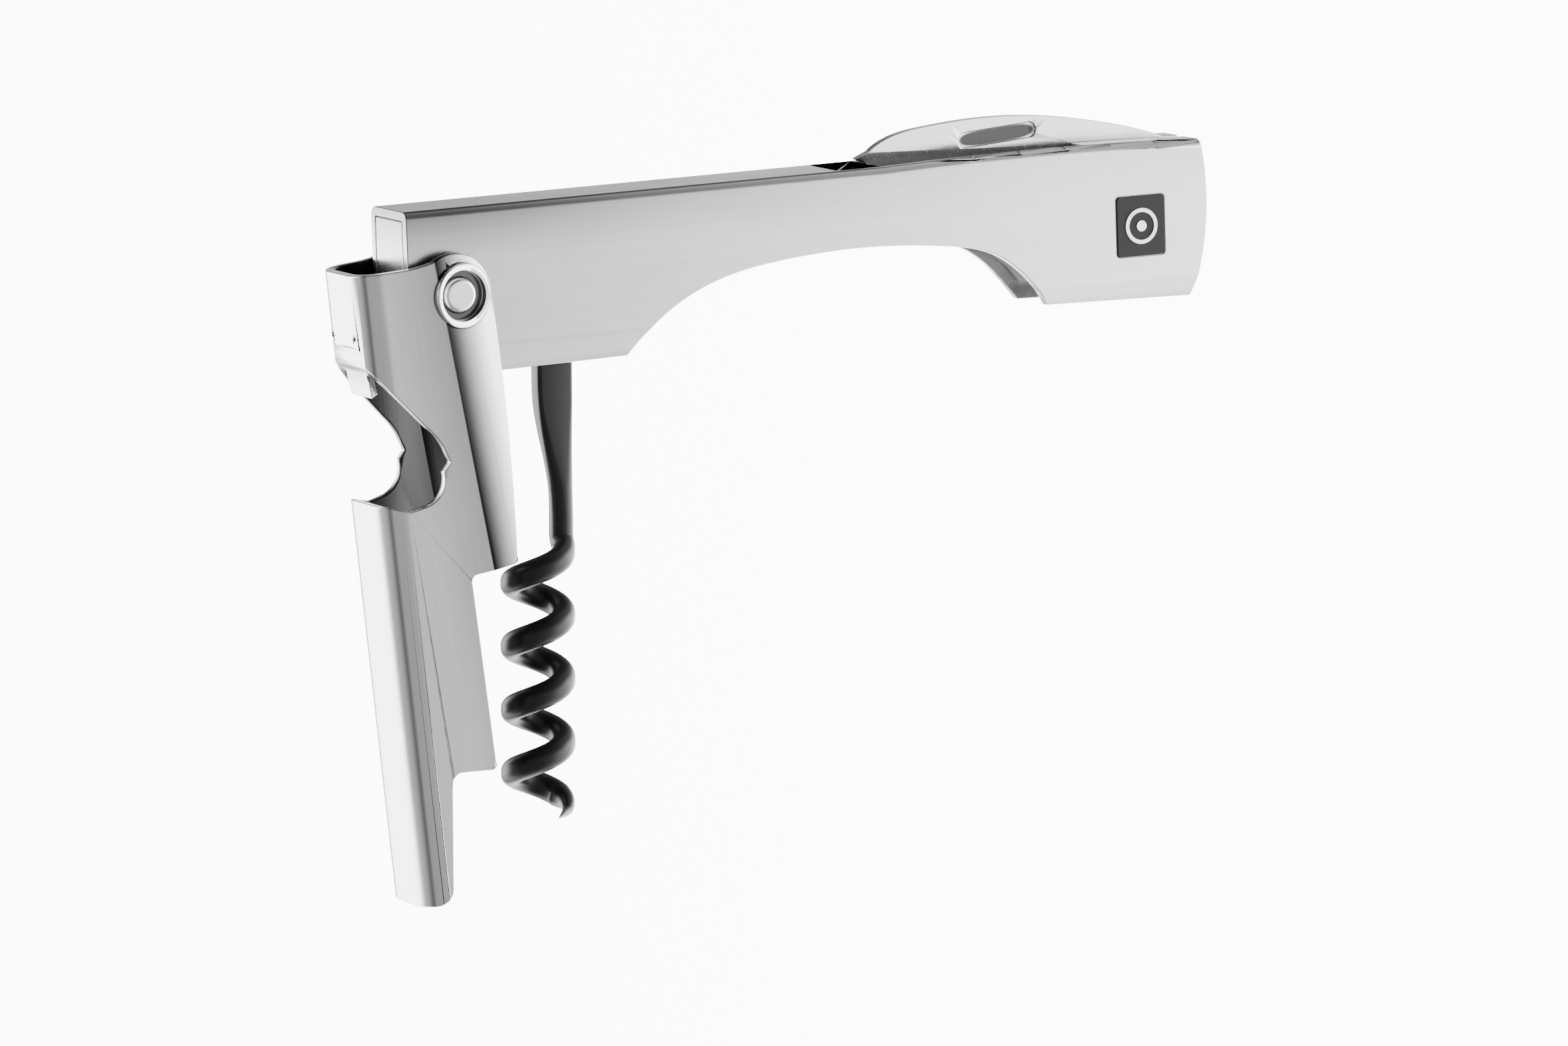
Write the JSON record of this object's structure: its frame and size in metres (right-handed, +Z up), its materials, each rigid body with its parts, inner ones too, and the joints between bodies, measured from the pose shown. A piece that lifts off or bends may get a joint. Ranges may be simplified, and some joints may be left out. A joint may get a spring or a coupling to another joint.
{
  "type": "lever corkscrew",
  "caption": "Folding waiter's corkscrew: sheet handle with finger arch, channel lever with cap opener, coated worm and folding foil blade.",
  "frame": {"origin": "on the axis of the worm, level with its tip, in the middle plane of the handle", "axes": "+Z up along the worm's axis towards the handle, +X along the handle towards the blade end, -Y out of the badge side"},
  "size_m": [0.12, 0.0166, 0.095],
  "materials": {
    "satin_steel": "satin brushed along the handle",
    "lever_steel": "satin brushed along the lever",
    "blade_steel": "fine ground, bright",
    "polished_steel": "polished",
    "spring_steel": "plain rolled",
    "washer_plastic": "dark slippery plastic",
    "black_coating": "black low-friction coating, satin",
    "badge_dark": "dark satin enamel",
    "badge_light": "light satin"
  },
  "bodies": {
    "handle": {"handle_shell": "satin_steel", "pivot_block": "satin_steel", "tail_block": "spring_steel", "front_liner": "spring_steel", "rear_liner": "spring_steel", "back_spring": "spring_steel", "liner_rivets": "polished_steel", "spring_pins": "polished_steel", "blade_stop_pin": "polished_steel", "worm_pivot_pin": "polished_steel", "blade_pivot_pin": "polished_steel", "lever_pivot_pin": "polished_steel", "worm_spacers": "spring_steel", "blade_spacers": "spring_steel", "lever_washers": "washer_plastic", "badge_plate": "badge_dark", "badge_emblem": "badge_light"},
    "lever": {"lever": "lever_steel", "lever_bush_front": "polished_steel", "lever_bush_rear": "polished_steel"},
    "worm": {"worm": "black_coating"},
    "blade": {"blade": "blade_steel"}
  },
  "joints": [
    {"name": "lever_hinge", "type": "hinge", "parent": "handle", "child": "lever", "pos_m": [-0.01355, 0, 0.06676], "axis": [0, -1, 0], "range_deg": [-12, 85.4]},
    {"name": "worm_hinge", "type": "hinge", "parent": "handle", "child": "worm", "pos_m": [0.002, 0, 0.0627], "axis": [0, -1, 0], "range_deg": [-13, 92.1]},
    {"name": "blade_hinge", "type": "hinge", "parent": "handle", "child": "blade", "pos_m": [0.08601, 0, 0.07544], "axis": [0, 1, 0], "range_deg": [0, 180]}
  ],
  "couplings": [
    {"joint": "worm_hinge", "follows": "lever_hinge", "ratio": 1.0773}
  ]
}
